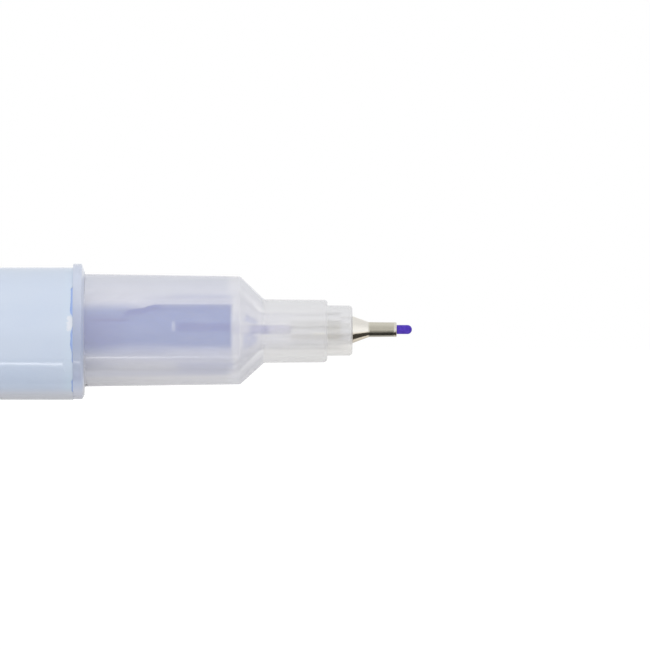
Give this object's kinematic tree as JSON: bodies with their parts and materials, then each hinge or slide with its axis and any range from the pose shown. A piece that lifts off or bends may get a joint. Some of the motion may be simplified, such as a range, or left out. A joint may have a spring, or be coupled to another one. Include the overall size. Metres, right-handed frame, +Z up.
{
  "type": "fabric marking pen",
  "caption": "Fine-tipped fabric marking pen: film-wrapped round barrel, frosted stepped nose showing its ink, metal-sleeved fibre nib, and a clipped cap pushed onto the tail.",
  "frame": {"origin": "on the table, under the middle of the pen's length with its cap on its tail", "axes": "+X along the pen towards the nib, +Z up from the table, with the cap's clip on top"},
  "size_m": [0.1522, 0.0108, 0.0125],
  "materials": {
    "blue_plastic": "moulded, semi-gloss",
    "pale_blue_film": "glossy wrapped film",
    "pale_blue_plastic": "moulded, semi-gloss",
    "frosted_plastic": "frosted, see-through",
    "nickel": "drawn, bright",
    "violet_fibre": "porous, inked",
    "inked_fibre": "fibrous, inked",
    "inked_film": "thin glossy film",
    "natural_plastic": "soft, waxy"
  },
  "bodies": {
    "pen": {"barrel_tube": "blue_plastic", "barrel_film": "pale_blue_film", "nose_section": "frosted_plastic", "nib_ferrule": "nickel", "fibre_nib": "violet_fibre", "ink_reservoir": "inked_fibre", "reservoir_film": "inked_film", "tail_plug": "blue_plastic"},
    "cap": {"cap_shell": "pale_blue_plastic", "cap_inner_seal": "natural_plastic"}
  },
  "joints": [
    {"name": "cap_pull", "type": "slide", "parent": "pen", "child": "cap", "axis": [-1, 0, 0], "range_m": [0, 0.016]}
  ]
}
